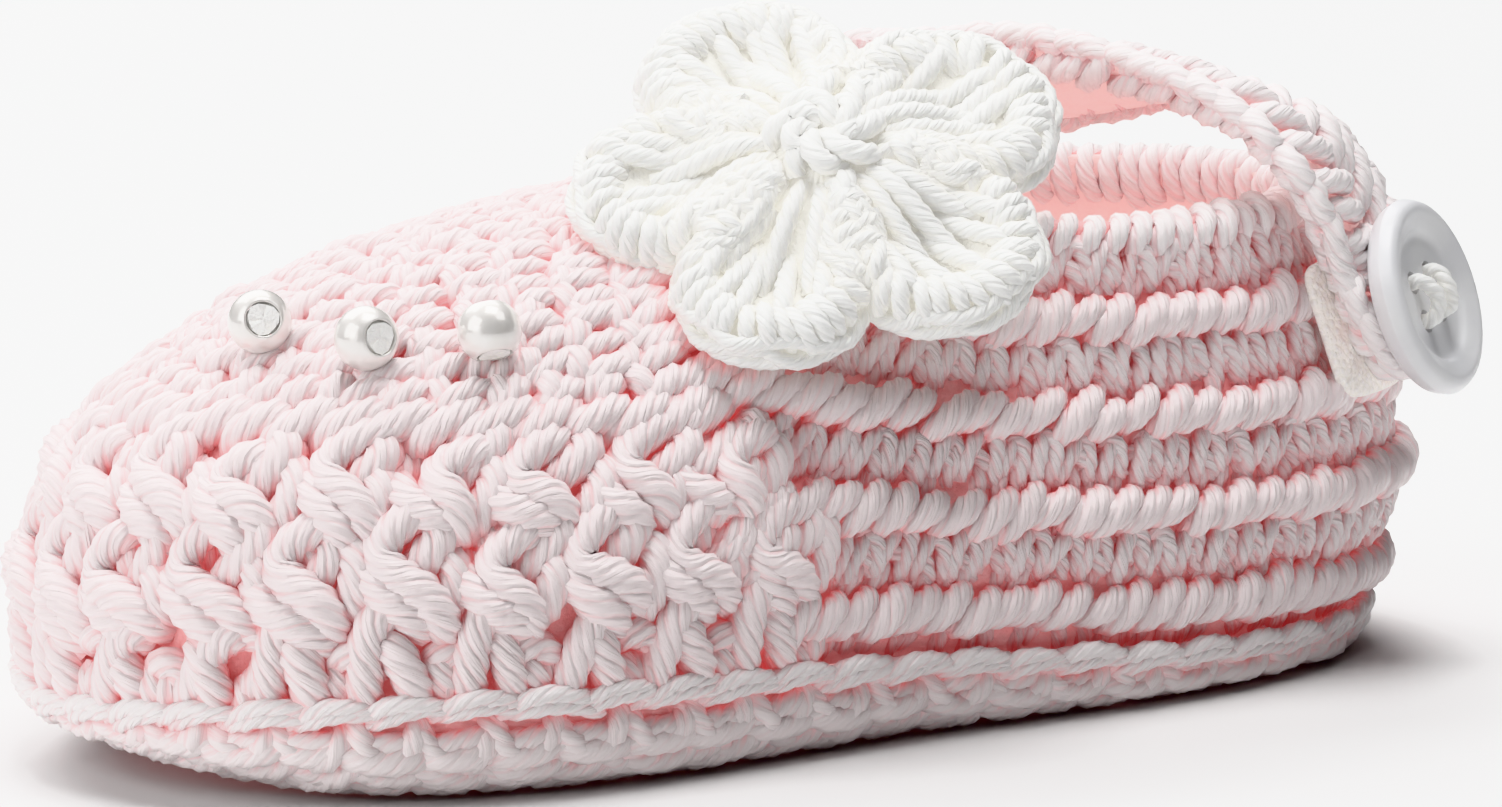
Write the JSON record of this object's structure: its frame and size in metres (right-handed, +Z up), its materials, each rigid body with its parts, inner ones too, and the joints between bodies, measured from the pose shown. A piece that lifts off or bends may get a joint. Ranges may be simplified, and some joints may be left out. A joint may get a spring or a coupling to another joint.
{
  "type": "baby bootie",
  "caption": "Pink crochet baby bootie with a ribbed upper, soft sole, ankle strap fastened by a button, white flower on the instep and pearl beads on the toe.",
  "frame": {"origin": "middle of the outline on the floor, under the bootie", "axes": "+X from toe to heel, +Z up, and -Y out of the outer side, where the button is"},
  "size_m": [0.1082, 0.0542, 0.0495],
  "materials": {
    "upper_yarn": "soft glossy pink yarn, crocheted",
    "sole_yarn": "soft glossy pink yarn, crocheted",
    "strap_yarn": "soft glossy pink yarn, crocheted",
    "flower_yarn": "white yarn, crocheted",
    "thread": "white yarn",
    "patch": "cream hook-and-loop tape",
    "button": "polished white",
    "pearl": "pearlescent white"
  },
  "bodies": {
    "root": {"sole": "sole_yarn", "upper": "upper_yarn", "strap": "strap_yarn", "fastener_patch": "patch", "button": "button", "button_thread_1": "thread", "button_thread_2": "thread", "flower": "flower_yarn", "pearl_toe": "pearl", "pearl_middle": "pearl", "pearl_side": "pearl"}
  },
  "joints": []
}
